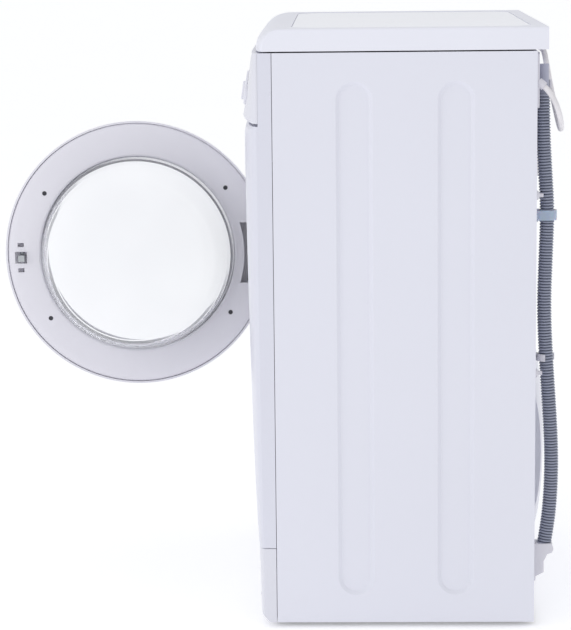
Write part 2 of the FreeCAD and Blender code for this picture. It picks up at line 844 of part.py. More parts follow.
def hinge_arm():
    z0, z1 = door_z - hinge_half + 3, door_z + hinge_half - 3
    plate = box(-199, -hinge_recess_radius - 4, door_plane - 6, door_plane - 3, z0, z1)
    arms = []
    for sign in (-1, 1):
        z = door_z + sign * 27
        outline = [V(-199, door_plane - 6, z - 9), V(-192, door_plane - 6, z - 9),
                   V(hinge_x + 4, hinge_y + 3, z - 9), V(hinge_x - 3, hinge_y - 4, z - 9)]
        arms.append(Part.Face(Part.makePolygon(outline + [outline[0]])).extrude(V(0, 0, 18)))
    barrel = rod(knuckle_radius, V(hinge_x, hinge_y, door_z - knuckle_half),
                 V(hinge_x, hinge_y, door_z + knuckle_half))
    arm = fuse([plate, barrel] + arms)
    bore = rod(pin_radius + pin_clearance, V(hinge_x, hinge_y, door_z - 80),
               V(hinge_x, hinge_y, door_z + 80))
    return opened(arm.cut(bore))


def hinge_bracket():
    low = knuckle_half + knuckle_gap
    plate = box(hinge_x - 20, hinge_x + 12, well_floor - 2.5, well_floor,
                door_z - low - knuckle_height, door_z + low + knuckle_height)
    shapes = [plate]
    for sign in (-1, 1):
        z0 = door_z + (low if sign > 0 else -low - knuckle_height)
        ear = rod(knuckle_radius, V(hinge_x, hinge_y, z0), V(hinge_x, hinge_y, z0 + knuckle_height))
        web = box(hinge_x - 5, hinge_x + 5, hinge_y, well_floor - 1, z0, z0 + knuckle_height)
        shapes += [ear, web]
    pin = rod(pin_radius, V(hinge_x, hinge_y, door_z - low - knuckle_height - 3),
              V(hinge_x, hinge_y, door_z + low + knuckle_height + 3))
    return fuse(shapes + [pin])


def handle_blank(grow):
    """The curved lever let into the free edge of the door's outer face."""
    bar = box(174 - grow, 206 + grow, door_plane - door_depth - 5, door_plane - 18 + grow,
              door_z - handle_half - grow, door_z + handle_half + grow)
    return bar


def door_handle():
    r, d = door_radius, door_depth
    outer = quarter(r, 3, r - 30, d)
    form = door_outline([(150, d), (150, 12), (r - 14, 12)] + outer)
    lever = form.common(handle_blank(0))
    pocket = box(188, 215, door_plane - 27, door_plane, door_z - 40, door_z + 40)
    lever = lever.cut(pocket)
    for sign in (-1, 1):
        lever = lever.cut(rod(handle_pin_radius + 0.1,
                              V(handle_pin_x, handle_pin_y, door_z + sign * (handle_half - 9)),
                              V(handle_pin_x, handle_pin_y, door_z + sign * (handle_half + 1))))
    return opened(lever)


def latch_hook():
    x, z = latch_radius, door_z - 6
    shank = box(x - 3, x + 3, door_plane - 14, door_plane + 13, z - 5, z + 5)
    beak = box(x - 7, x + 3, door_plane + 9, door_plane + 13, z - 5, z + 5)
    boss = rod(4, V(x, door_plane - 14, z - 7), V(x, door_plane - 14, z + 7))
    return opened(fuse([shank, beak, boss]))


def door_lock():
    x = latch_radius
    case = box(x - 13, x + 22, dish_floor + sheet, dish_floor + sheet + 24,
               door_z - 36, door_z + 36)
    slot = box(x - 10, x + 12, dish_floor, dish_floor + 20, door_z - 17, door_z + 17)
    return case.cut(slot)


# ---- Tub, drum and drive ----
def tub_rear():
    r, w = tub_radius, tub_wall
    y0, y1 = tub_joint_y, tub_back_y
    shell = turned([(r - w, y0), (r, y0), (r, y1), (hub_radius, y1), (hub_radius, hub_back_y),
                    (shaft_radius + 2, hub_back_y), (shaft_radius + 2, y1 - w),
                    (r - w, y1 - w)], 0, door_z)
    for y in bearing_places():
        shell = shell.cut(disc(bearing_radius, y, y + bearing_width, 0, door_z))
    lugs = [spring_lug(1), spring_lug(-1), damper_lug(1), damper_lug(-1)]
    keep_out = disc(r - 1, y0 - 40, y1 + 40, 0, door_z)
    return fuse([shell] + [lug.cut(keep_out) for lug in lugs])


def bearing_places():
    return (tub_back_y + 2.5, hub_back_y - bearing_width - 1.5)


def spring_lug(sign):
    lug = box(150, spring_x + 12, spring_y - 14, spring_y + 14, spring_bottom - 14,
              spring_bottom)
    return lug if sign > 0 else mirrored(lug)


def damper_lug(sign):
    lug = box(damper_x - 14, damper_x + 14, damper_y - 14, damper_y + 14, 262, 300)
    return lug if sign > 0 else mirrored(lug)


def tub_front():
    r, w = tub_radius, tub_wall
    y0, y1 = tub_front_y, tub_joint_y
    shell = turned([(r, y1), (r - w, y1), (r - w, y0 + w), (neck_radius - w, y0 + w),
                    (neck_radius - w, y0 - neck_length), (neck_radius, y0 - neck_length),
                    (neck_radius, y0), (r, y0)], 0, door_z)
    nozzle = tube(sump_radius - 2, sump_radius - 5, V(pump_x, sump_y, 300),
                  V(pump_x, sump_y, 330))
    nozzle = nozzle.cut(disc(r - 1, y0, y1, 0, door_z))
    shell = shell.cut(fuse(heater_stems()))
    return fuse([shell, nozzle])


def drum():
    r, t = drum_radius, drum_sheet
    y0, y1 = drum_front_y, drum_back_y
    o = drum_opening
    return turned([(r, y0), (r, y1), (0, y1), (0, y1 - t), (r - t, y1 - t), (r - t, y0 + t),
                   (o + 6, y0 + t), (o + 6, y0 + 6), (o, y0 + 6), (o, y0)], 0, door_z)


def drum_lifters():
    made = []
    y0, y1 = drum_front_y + 12, drum_back_y - 12
    top = drum_radius - drum_sheet - 0.2
    skin = disc(top, y0, y1, 0, door_z)
    for i in range(lifter_count):
        w = lifter_width / 2
        outline = [V(-w, y0, door_z + top + 5), V(-w, y0, door_z + top - 8),
                   V(-w * 0.35, y0, door_z + top - lifter_height),
                   V(w * 0.35, y0, door_z + top - lifter_height),
                   V(w, y0, door_z + top - 8), V(w, y0, door_z + top + 5)]
        bar = Part.Face(Part.makePolygon(outline + [outline[0]])).extrude(V(0, y1 - y0, 0))
        bar = bar.common(skin)
        bar.rotate(V(0, 0, door_z), Y_AXIS, 360 * i / lifter_count)
        made.append(bar)
    return Part.makeCompound(made)


def drum_spider():
    y0, y1 = drum_back_y, tub_back_y - tub_wall - 3
    shapes = [disc(40, y0, y1, 0, door_z),
              disc(shaft_radius, y0, pulley_y + pulley_width + 2, 0, door_z)]
    for i in range(3):
        arm = box(-14, 14, y0, y0 + 10, door_z, door_z + drum_radius - 12)
        arm.rotate(V(0, 0, door_z), Y_AXIS, 60 + 120 * i)
        shapes.append(arm)
    return fuse(shapes)


def bearings():
    made = []
    for y in bearing_places():
        made.append(ring(bearing_radius, shaft_radius + 0.05, y, y + bearing_width, 0, door_z))
    return Part.makeCompound(made)


def drum_pulley():
    r, y0, y1 = drum_pulley_radius, pulley_y, pulley_y + pulley_width
    rim = ring(r, r - 9, y0, y1, 0, door_z)
    hub = ring(26, shaft_radius, y0 - 2, y1, 0, door_z)
    shapes = [rim, hub]
    for i in range(6):
        spoke = box(-9, 9, y0 + 3, y1 - 3, door_z + 22, door_z + r - 5)
        spoke.rotate(V(0, 0, door_z), Y_AXIS, 60 * i)
        shapes.append(spoke)
    return fuse(shapes)


def motor_pulley():
    y0, y1 = pulley_y, pulley_y + pulley_width
    return fuse([disc(motor_pulley_radius, y0, y1, 0, motor_z), disc(6, 118, y0, 0, motor_z)])


def motor():
    y1 = 112.0
    can = disc(motor_radius, y1 - motor_length, y1, 0, motor_z)
    can = can.cut(disc(6.05, y1 - 20, y1 + 5, 0, motor_z))
    lugs = []
    for sign in (-1, 1):
        x = sign * 30
        lugs.append(box(x - 8, x + 8, 20, 90, motor_z + 30, door_z - tub_radius + 20))
    body = fuse([can] + lugs)
    return body.cut(disc(tub_radius + 0.2, -50, 130, 0, door_z))


def belt_loop(extra):
    """The solid inside a line drawn round both pulleys, extra away from them."""
    big, small = drum_pulley_radius + extra, motor_pulley_radius + extra
    y0, y1 = pulley_y + 1.5, pulley_y + pulley_width - 1.5
    distance = door_z - motor_z
    tilt = math.asin((big - small) / distance)
    corner = []
    for z, r in ((door_z, big), (motor_z, small)):
        corner.append((r * math.cos(tilt), z - r * math.sin(tilt)))
    (x0, z0), (x1, z1) = corner
    outline = [V(-x0, y0, z0), V(x0, y0, z0), V(x1, y0, z1), V(-x1, y0, z1)]
    web = Part.Face(Part.makePolygon(outline + [outline[0]])).extrude(V(0, y1 - y0, 0))
    return fuse([disc(big, y0, y1, 0, door_z), disc(small, y0, y1, 0, motor_z), web])


def drive_belt():
    return belt_loop(belt_gap + belt_thickness).cut(belt_loop(belt_gap))


def top_weight():
    block = box(-66, 190, -92, 66, door_z + 120, spring_top + 20)
    return block.cut(disc(tub_radius + 0.3, -200, 200, 0, door_z))


def heater():
    y0, y1 = -120, 60
    z = door_z - tub_radius + 13
    loop = [rod(4, V(-26, y0, z), V(-26, y1, z)), rod(4, V(26, y0, z), V(26, y1, z)),
            rod(4, V(-26, y1, z), V(26, y1, z))]
    plug = box(-34, 34, tub_front_y - 12, tub_front_y - 0.1, z - 4, z + 14)
    return fuse(loop + heater_stems() + [plug])


def heater_stems():
    z = door_z - tub_radius + 13
    return [rod(4, V(x, tub_front_y - 2, z), V(x, -120, z)) for x in (-26, 26)]


def boot_gasket():
    """Rubber bellows between the tub's neck and the porthole's edge."""
    y0, y1 = dish_floor - 1.2, tub_front_y - neck_length - 0.4
    lip = port_radius
    points = [(lip - 9, y0), (lip + 9, y0), (lip + 9, y0 + 1.0), (lip - 0.4, y0 + 1.0),
              (lip - 0.4, y0 + 6), (lip + 6, y0 + 18), (lip - 2, y0 + 28), (lip + 5, y1 - 14),
              (lip + 5, y1), (lip - 1, y1), (lip - 1, y1 - 12), (lip - 6, y0 + 28),
              (lip + 2, y0 + 18), (lip - 5, y0 + 8), (lip - 9, y0 + 4)]
    return turned(points, 0, door_z)


# ---- Suspension and pump ----
def suspension_springs():
    made = []
    for x in (-spring_x, spring_x):
        z0, z1 = spring_bottom + 0.2, spring_top - 0.2
        pitch = (z1 - z0 - 2 * spring_wire) / spring_turns
        path = Part.makeHelix(pitch, pitch * spring_turns, spring_radius)
        section = Part.Wire(Part.makeCircle(spring_wire, V(spring_radius, 0, 0), Y_AXIS))
        wire = Part.Wire(path.Edges)
        coil = wire.makePipeShell([section], True, True)
        coil.translate(V(x, spring_y, z0 + spring_wire))
        made.append(coil)
    return Part.makeCompound(made)


def damper_cylinders():
    made = []
    for x in (-damper_x, damper_x):
        case = rod(damper_radius, V(x, damper_y, rail_top), V(x, damper_y, 196))
        bore = rod(rod_radius + rod_clearance, V(x, damper_y, 60), V(x, damper_y, 200))
        made.append(case.cut(bore))
    return Part.makeCompound(made)


def damper_rods():
    made = []
    for x in (-damper_x, damper_x):
        made.append(rod(rod_radius, V(x, damper_y, 110), V(x, damper_y, 262)))
    return Part.makeCompound(made)


def drain_pump():
    y0, y1 = -172, -64
    body = disc(pump_radius, y0, y1, pump_x, pump_z)
    body = body.cut(disc(pump_radius - 3, y0 - 1, y0 + 60, pump_x, pump_z))
    inlet = rod(sump_radius - 3, V(pump_x, sump_y, pump_z + 20), V(pump_x, sump_y, 108))
    coil = box(pump_x - 22, pump_x + 22, y1, y1 + 36, pump_z - 20, pump_z + 20)
    return fuse([body, inlet, coil])


def sump_hose():
    z0, z1 = 100.0, 322.0
    inner = sump_radius - 2
    points = [V(inner, 0, z0), V(inner, 0, z1)]
    folds = 9
    step = (z1 - z0 - 30) / folds
    outer = [V(sump_radius, 0, z1), V(sump_radius, 0, z1 - 15)]
    for i in range(folds):
        z = z1 - 15 - i * step
        outer.append(V(sump_radius + 5, 0, z - step * 0.5))
        outer.append(V(sump_radius, 0, z - step))
    outer.append(V(sump_radius, 0, z0))
    face = Part.Face(Part.makePolygon(points + outer + [points[0]]))
    hose = face.revolve(V(0, 0, 0), Z_AXIS, 360)
    hose.translate(V(pump_x, sump_y, 0))
    cap = rod(inner - 1, V(pump_x, sump_y, 0), V(pump_x, sump_y, 1))
    return hose.cut(cap).cut(disc(tub_radius + 0.3, -200, 0, 0, door_z))


def filter_cap():
    plug = disc(filter_radius - 0.6, -172, -140, pump_x, pump_z)
    flange_ = disc(pump_radius, -176, -172.3, pump_x, pump_z)
    grip = box(pump_x - filter_radius + 2, pump_x + filter_radius - 2, -190, -176,
               pump_z - 5, pump_z + 5)
    return fuse([plug, flange_, grip])


# ---- Back of the cabinet ----
def inlet_valve():
    x, z = inlet_x, inlet_z
    block = box(x - 26, x + 26, 128, panel_rear - sheet - 0.1, z - 22, z + 22)
    seat = panel_rear + 0.2
    shoulder = disc(spigot_radius + 1.6, panel_rear - 6, seat, x, z)
    spigot = disc(spigot_radius, panel_rear - 6, panel_rear + spigot_reach, x, z)
    bore = disc(8.5, panel_rear - 2, panel_rear + 20, x, z)
    return fuse([block, shoulder, spigot]).cut(bore)


def cord_gland():
    """A plate on the cabinet's corner with a sleeve that the lead leaves through."""
    plate = rounded_plate(273, 293, 738, lid_bottom - 4, panel_rear + 0.1, panel_rear + 3.2, 6)
    start = lead_route[0]
    along = (lead_route[1] - start).normalize()
    sleeve = rod(lead_radius + 2.2, start - along * 3, start + along * 8)
    sleeve = sleeve.cut(box(0, 400, 0, panel_rear + 0.1, 700, 850))
    bore = rod(lead_radius + 0.3, start, start + along * 20)
    return fuse([plate, sleeve]).cut(bore)


def hose_elbow_bracket():
    """The moulded elbow at the hose's outlet: a collar whose foot meets the panel."""
    start = hose_route[0]
    x = start.x
    y0 = panel_rear + 0.1
    side = [(y0, 116), (209, 116), (211.2, 108), (209, 102.5), (202.5, 100.5), (197.4, 90),
            (197.4, 74), (186, 68), (186, 62), (y0, 62)]
    outline = [V(x - bracket_half, y, z) for y, z in side]
    body = Part.Face(Part.makePolygon(outline + [outline[0]]))
    body = body.extrude(V(2 * bracket_half, 0, 0))
    uprights = [e for e in body.Edges if e.BoundBox.XLength < 1e-3 and e.BoundBox.YMin > y0 + 1]
    body = body.makeFillet(2.0, uprights)
    along = hose_route[1] - start
    return body.cut(rod(hose_radius, start, start + along * 2)).removeSplitter()


def hose_strap():
    """A flat translucent band round the hose, fixed to the cabinet's rear corner."""
    z0, z1 = 580.0, 594.0
    y = 200.0
    band = tube(hose_radius + 2.8, hose_radius + 1.0, V(262, y, z0), V(262, y, z1))
    foot = box(249, 286.5, panel_rear + 0.1, panel_rear + 2.4, z0, z1)
    link = box(262 - hose_radius - 2.8, 262 - hose_radius - 1.0, panel_rear + 0.1, y, z0, z1)
    bridge = box(262 + hose_radius + 1.0, 262 + hose_radius + 2.8, panel_rear + 0.1, y, z0, z1)
    return fuse([band, foot, link, bridge])


def hose_holders():
    """Open collars that hold the hose near its top end and at mid height."""
    made = []
    for place in (hose_route[-2], hose_route[5]):
        x, y, z = place.x, place.y, place.z
        inner, outer = hose_radius + 0.9, hose_radius + 3.2
        band = tube(outer, inner, V(x, y, z - 5), V(x, y, z + 5))
        band = band.cut(box(x - 5, x + 30, y - 2, y + 30, z - 9, z + 9))
        foot = box(x - 8, x - 1, panel_rear + 0.1, y, z - 5, z + 5)
        foot = foot.cut(rod(inner, V(x, y, z - 9), V(x, y, z + 9)))
        behind = box(x - 30, x + 30, 100, panel_rear + 0.1, z - 20, z + 20)
        made.append(fuse([band, foot]).cut(behind))
    return Part.makeCompound(made)


def transit_caps():
    """Round caps over the transit bolts' holes, each with a stub to pull it out by."""
    made = []
    for x in (-transit_x, transit_x):
        for z in transit_heights:
            head = Part.makeSphere(7.5, V(x, panel_rear - 2.0, z))
            head = head.common(box(-400, 400, panel_rear + 0.1, 260, 0, 800))
            stub = rod(2.9, V(x, panel_rear + 2, z), V(x, panel_rear + 10, z))
            made.append(fuse([head, stub]))
    return Part.makeCompound(made)


def panel_screws():
    made = []
    places = [(x, z) for x in (-236, 0, 236) for z in (cover_bottom + 9, cover_top - 7)]
    places += [(x, 365.0) for x in (-cover_half + 7, cover_half - 7)]
    for x, z in places:
        head = Part.makeSphere(5.2, V(x, panel_rear + sheet - 2.6, z))
        head = head.common(box(-400, 400, panel_rear + sheet, 260, 0, 800))
        made.append(head)
    return Part.makeCompound(made)


def cord_hook():
    """The peg that the put-away lead hangs on, with its keeper."""
    y0 = panel_rear + 0.1
    w = 5.0
    inner = coil_middle - coil_half_width
    top = coil_z + math.sqrt(inner ** 2 - w ** 2) - 0.3
    post = box(coil_x - w, coil_x + w, y0, coil_y + coil_half_depth + 4, top - 8, top)
    keeper = box(coil_x - w, coil_x + w, coil_y + coil_half_depth + 0.4,
                 coil_y + coil_half_depth + 4, top - 8, coil_z + 58)
    return fuse([post, keeper])


# ---- Hose and mains lead ----
def smooth_path(points, label):
    """Straight runs joined by tangent arcs as large as their two runs allow."""
    edges = []
    radii = []
    last = points[0]
    for i in range(1, len(points) - 1):
        before = (points[i] - points[i - 1])
        after = (points[i + 1] - points[i])
        shorter = min(before.Length, after.Length)
        turn = before.getAngle(after)
        setback = 0.45 * shorter
        radii.append(setback / math.tan(turn / 2))
        u, w = before.normalize(), after.normalize()
        start, end = points[i] - u * setback, points[i] + w * setback
        inward = (w - u).normalize()
        centre_gap = radii[-1] / math.cos(turn / 2) - radii[-1]
        middle = points[i] + inward * centre_gap
        edges.append(Part.makeLine(last, start))
        edges.append(Part.Arc(start, middle, end).toShape())
        last = end
    edges.append(Part.makeLine(last, points[-1]))
    wire = Part.Wire(edges)
    print(label, "length %.0f mm" % wire.Length, "smallest arc %.0f mm" % min(radii))
    print("  arc radii:", " ".join("%.0f" % r for r in radii))
    return wire


def lead_tube(points, radius, label):
    path = smooth_path(points, label)
    direction = points[1] - points[0]
    section = Part.Wire(Part.makeCircle(radius, points[0], direction))
    solid = path.makePipeShell([section], True, True)
    wanted = math.pi * radius ** 2 * path.Length
    if abs(solid.Volume / wanted - 1) > 0.02:
        raise ValueError(label + " has the wrong volume")
    return solid


def power_cord_coil():
    """The outer form of the wound lead: a short thick ring that hangs on its peg."""
    y0, y1 = coil_y - coil_half_depth, coil_y + coil_half_depth
    body = ring(coil_middle + coil_half_width, coil_middle - coil_half_width, y0, y1,
                coil_x, coil_z)
    return body


def power_plug():
    """A moulded two-pin plug with earth contacts, hanging from the end of the lead."""
    end = tail_route[-1]
    x, y, z = end.x, end.y, end.z - 34
    body = rod(14, V(x, y, z - 22), V(x, y, z + 14))
    rim = [e for e in body.Edges if e.BoundBox.ZMin > z + 13.9]
    body = body.makeFillet(5.0, rim)
    relief = Part.makeCone(7.5, lead_radius + 1, 22, V(x, y, z + 12), Z_AXIS)
    pins = [rod(2.4, V(x + dx, y, z - 41), V(x + dx, y, z - 21)) for dx in (-9.5, 9.5)]
    return fuse([body, relief] + pins)


def power_cord():
    """The lead from its gland to the coil, and from the coil to the plug."""
    return Part.makeCompound([lead_tube(lead_route, lead_radius, "mains lead"),
                              lead_tube(tail_route, lead_radius, "lead's tail")])


# ---- Build ----
def build():
    save("side_panel_right", side_panel())
    save("side_panel_left", mirrored(side_panel()))
    save("rear_panel", rear_panel())
    save("rear_cover", rear_cover())
    save("base_frame", base_frame())
    save("feet", feet())
    save("lid_frame", lid_frame())
    save("lid_inlay", lid_inlay())
    save("front_panel", front_panel())
    save("kickplate", kickplate())
    save("filter_flap", filter_flap())
    save("fascia", fascia())
    save("display_window", display_blank(0.3, 0.4, 2.4))
    save("program_knob", program_knob())
    for number, x in enumerate(option_places(), 1):
        save("option_button_%d" % number, push_button(button_radius, x, button_z, 2.6))
    save("start_button", push_button(start_radius, start_x, control_z, 3.0))
    save("dispenser_housing", dispenser_housing())
    save("detergent_drawer", detergent_drawer())
    save("door_trim", door_trim())
    save("door_inner_ring", door_inner_ring())
    save("door_screws", door_screws())
    save("door_glass", door_glass())
    save("hinge_arm", hinge_arm())
    save("hinge_bracket", hinge_bracket())
    save("door_handle", door_handle())
    save("latch_hook", latch_hook())
    save("door_lock", door_lock())
    save("tub_rear", tub_rear())
    save("tub_front", tub_front())
    save("drum", drum())
    save("drum_lifters", drum_lifters())
    save("drum_spider", drum_spider())
    save("bearings", bearings())
    save("drum_pulley", drum_pulley())
    save("motor_pulley", motor_pulley())
    save("motor", motor())
    save("drive_belt", drive_belt())
    save("top_weight", top_weight())
    save("heater", heater())
    save("boot_gasket", boot_gasket())
    save("suspension_springs", suspension_springs())
    save("damper_cylinders", damper_cylinders())
    save("damper_rods", damper_rods())
    save("drain_pump", drain_pump())
    save("sump_hose", sump_hose())
    save("filter_cap", filter_cap())
    save("inlet_valve", inlet_valve())
    save("cord_gland", cord_gland())
    save("hose_elbow_bracket", hose_elbow_bracket())
    save("hose_strap", hose_strap())
    save("hose_holders", hose_holders())
    save("transit_caps", transit_caps())
    save("panel_screws", panel_screws())
    save("cord_hook", cord_hook())
    save("drain_hose", lead_tube(hose_route, hose_radius, "drain hose"))
    save("power_cord", power_cord())
    save("power_cord_coil", power_cord_coil())
    save("power_plug", power_plug())


os.makedirs("parts", exist_ok=True)
build()
print(len(NODES), "nodes")
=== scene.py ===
# %% [markdown]
# # A slim front-loading washing machine
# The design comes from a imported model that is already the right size, in metres, +Z up and
# the front on -Y. This lesson gives each steel, plastic, glass and rubber part its finish, and
# remakes the two pieces whose looks need more than a plain solid: the corrugated drain hose,
# and the mains lead with its coil.

# %% Load the frame
import bmesh
import bpy
import json
import math
from mathutils import Matrix, Vector


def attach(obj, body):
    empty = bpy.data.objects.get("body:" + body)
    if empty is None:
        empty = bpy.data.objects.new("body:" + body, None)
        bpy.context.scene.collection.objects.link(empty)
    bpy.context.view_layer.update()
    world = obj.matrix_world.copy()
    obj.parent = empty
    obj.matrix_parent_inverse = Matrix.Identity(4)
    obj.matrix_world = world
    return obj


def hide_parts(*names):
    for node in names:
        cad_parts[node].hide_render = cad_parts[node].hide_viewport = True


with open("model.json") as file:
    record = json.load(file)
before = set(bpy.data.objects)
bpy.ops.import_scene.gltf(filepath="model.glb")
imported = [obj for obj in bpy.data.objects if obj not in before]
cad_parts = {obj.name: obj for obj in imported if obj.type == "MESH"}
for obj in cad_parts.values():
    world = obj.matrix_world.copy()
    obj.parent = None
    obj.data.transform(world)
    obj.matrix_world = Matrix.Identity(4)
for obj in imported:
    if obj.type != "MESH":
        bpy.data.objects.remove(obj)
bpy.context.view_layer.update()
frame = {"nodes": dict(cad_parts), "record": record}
nodes = frame["nodes"]
print("loaded", len(nodes), "nodes")

# %% [markdown]
# ## The camera
# A machine stood for its portrait from the side is drawn with a long lens from a little above
# the lid. The camera looks along -X, tips down about nine degrees, and is turned by a matrix
# whose columns are its right, its up and the way back from what it looks at.

# %% Camera
CAMERA_PLACE = Vector((3.571, -0.0778, 0.9995))
CAMERA_TURN = -0.0273      # radians, from straight along -X
CAMERA_TIP = 0.1654        # radians, downwards
CAMERA_ROLL = -0.0105
LENS = 135.8
SENSOR = 36.0


def add_camera():
    """Makes the scene's camera from its place, turn, tip and roll."""
    data = bpy.data.cameras.new("studio_camera")
    data.lens = LENS
    data.sensor_width = SENSOR
    data.sensor_fit = "VERTICAL"
    data.sensor_height = SENSOR
    camera = bpy.data.objects.new("studio_camera", data)
    bpy.context.collection.objects.link(camera)
    forward = Vector((-math.cos(CAMERA_TIP) * math.cos(CAMERA_TURN),
                      math.cos(CAMERA_TIP) * math.sin(CAMERA_TURN), -math.sin(CAMERA_TIP)))
    right = forward.cross(Vector((0, 0, 1))).normalized()
    up = right.cross(forward)
    c, s = math.cos(CAMERA_ROLL), math.sin(CAMERA_ROLL)
    right, up = c * right + s * up, c * up - s * right
    camera.matrix_world = Matrix.Translation(CAMERA_PLACE) @ Matrix(
        (right, up, -forward)).transposed().to_4x4()
    bpy.context.scene.camera = camera
    return camera


camera = add_camera()
print("camera at", tuple(round(c, 3) for c in camera.matrix_world.translation))

# %% [markdown]
# ## The cords
# Two flexible things hang at the back: the drain hose, clipped up the rear corner, and the
# mains lead, which hooks in a loop before it goes to its coil. Each is one smooth spline whose
# control points are given and match the routes in the design, in metres.

# %% Routes
HOSE_ROUTE = [
    (0.262, 0.1960, 0.101), (0.262, 0.2030, 0.140), (0.262, 0.2072, 0.190),
    (0.262, 0.2080, 0.245), (0.262, 0.2045, 0.310), (0.262, 0.1990, 0.385),
    (0.262, 0.1956, 0.455), (0.262, 0.1975, 0.525), (0.262, 0.1998, 0.592),
    (0.262, 0.1962, 0.648), (0.2616, 0.1932, 0.698), (0.2608, 0.1924, 0.738),
    (0.2594, 0.1924, 0.770), (0.257, 0.1923, 0.797),
]
LEAD_ROUTE = [
    (0.2880, 0.1859, 0.7726), (0.2888, 0.1922, 0.7676), (0.2902, 0.1988, 0.7600),
    (0.2920, 0.2048, 0.7504), (0.2926, 0.2096, 0.7396), (0.2898, 0.2134, 0.7274),
    (0.2823, 0.2160, 0.7162), (0.2710, 0.2172, 0.7087), (0.2575, 0.2176, 0.7060),
    (0.2440, 0.2172, 0.7087), (0.2327, 0.2160, 0.7162), (0.2252, 0.2138, 0.7276),
    (0.2226, 0.2110, 0.7410), (0.2226, 0.2077, 0.7550), (0.2222, 0.2050, 0.7690),
    (0.2206, 0.2026, 0.7820), (0.2158, 0.2006, 0.7946), (0.2068, 0.1994, 0.8048),
    (0.1945, 0.1986, 0.8109), (0.1785, 0.1982, 0.8128), (0.1580, 0.1980, 0.8129),
    (0.1340, 0.1973, 0.8129), (0.1100, 0.1968, 0.8129), (0.0880, 0.1964, 0.8129),
    (0.0660, 0.1962, 0.8120), (0.0450, 0.1960, 0.8070), (0.0260, 0.1960, 0.7980),
    (0.0100, 0.1960, 0.7846), (-0.0020, 0.1960, 0.7680), (-0.0094, 0.1960, 0.7500),
    (-0.0120, 0.1960, 0.7315), (-0.0120, 0.1960, 0.7140),
]
TAIL_ROUTE = [
    (-0.0024, 0.2046, 0.7444), (-0.0205, 0.2054, 0.7370), (-0.0360, 0.2060, 0.7250),
    (-0.0480, 0.2060, 0.7095), (-0.0556, 0.2057, 0.6914), (-0.0584, 0.2054, 0.6770),
    (-0.0584, 0.2052, 0.6640),
]
LEAD_RADIUS = 0.004
COIL_MIDDLE = (0.036, 0.200, 0.700)
COIL_INNER = 0.040
COIL_OUTER = 0.048
COIL_LAYERS = (0.1959, 0.2041)
COIL_POINTS = 54
POINTS_A_TURN = 14
EASE = 0.36              # of a turn, for a change of layer or of radius


def spline_curve(name, points, radius):
    """A smooth round cord: one open NURBS spline with its bevel.

    Each point carries the radius and scales a bevel of 1 m, because Blender pads a curve's
    box by its points' radius.
    """
    data = bpy.data.curves.new(name, "CURVE")
    data.dimensions = "3D"
    spline = data.splines.new("NURBS")
    spline.points.add(len(points) - 1)
    for point, place in zip(spline.points, points):
        point.co = (*place, 1)
        point.radius = radius
    spline.order_u = 3
    spline.use_endpoint_u = True
    spline.resolution_u = 8
    data.bevel_depth = 1.0 if radius else 0.0
    data.bevel_resolution = 5
    data.use_fill_caps = True
    cord = bpy.data.objects.new(name, data)
    bpy.context.collection.objects.link(cord)
    return cord


def eased(turn, change):
    """Goes smoothly from 0 to 1 over the last third of the turn that ends at change."""
    share = min(1.0, max(0.0, (turn - change + EASE) / EASE))
    return share * share * (3 - 2 * share)


def coil_turns():
    """The wound lead, from the left round by the bottom: down to the inner turn, back a layer,
    and out again to the outer turn, with a diameter between neighbours."""
    x0, _, z0 = COIL_MIDDLE
    step = COIL_OUTER - COIL_INNER
    places = []
    for i in range(COIL_POINTS):
        turn = i / POINTS_A_TURN
        angle = math.pi + 2 * math.pi * turn
        across = COIL_OUTER - step * eased(turn, 1) + step * eased(turn, 3)
        along = COIL_LAYERS[0] + (COIL_LAYERS[1] - COIL_LAYERS[0]) * eased(turn, 2)
        places.append((x0 + across * math.cos(angle), along, z0 + across * math.sin(angle)))
    return places


lead = spline_curve("mains_lead", LEAD_ROUTE + coil_turns() + TAIL_ROUTE, LEAD_RADIUS)
print("lead has", len(lead.data.splines[0].points), "control points")
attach(lead, "cabinet")
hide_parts("power_cord", "power_cord_coil")

# %% [markdown]
# ## Small tools for building
# Every new piece starts as a bmesh, is shaped by operators, and becomes an object at the
# origin whose place is in its mesh. A line of points spun round an axis makes anything turned.

# %% Building tools
WELD_DISTANCE = 1e-6


def piece_from(bm, name, body, finish, angle):
    """Cleans a bmesh, makes it an object at the origin and lets it ride on a body.

    Edges that turn by more than angle, in degrees, stay sharp.
    """
    bmesh.ops.remove_doubles(bm, verts=bm.verts, dist=WELD_DISTANCE)
    bmesh.ops.recalc_face_normals(bm, faces=bm.faces)
    mesh = bpy.data.meshes.new(name)
    bm.to_mesh(mesh)
    bm.free()
    mesh.shade_smooth()
    mesh.set_sharp_from_angle(angle=math.radians(angle))
    piece = bpy.data.objects.new(name, mesh)
    bpy.context.collection.objects.link(piece)
    piece.data.materials.append(finish)
    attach(piece, body)
    print("made", name, "with", len(mesh.polygons), "faces")
    return piece


def line_of(bm, points, closed=False):
    """A chain of vertices and edges through the points."""
    verts = [bm.verts.new(p) for p in points]
    edges = [bm.edges.new((a, b)) for a, b in zip(verts, verts[1:])]
    if closed:
        edges.append(bm.edges.new((verts[-1], verts[0])))
    return verts, edges


def spun(bm, points, centre, axis, steps, closed=True):
    """Spins a line of points all the way round an axis."""
    verts, edges = line_of(bm, points, closed)
    bmesh.ops.spin(bm, geom=verts + edges, cent=centre, axis=axis, angle=2 * math.pi,
                   steps=steps, use_merge=True)
    return bm


# %% [markdown]
# ## Finishes
# A real enamelled panel isn't one flat colour: the coat has a faint orange peel, its gloss
# drifts, and its white shifts a little from place to place. These helpers add such drift to a
# Principled shader from noise read in Object coordinates, which is metres on this model.

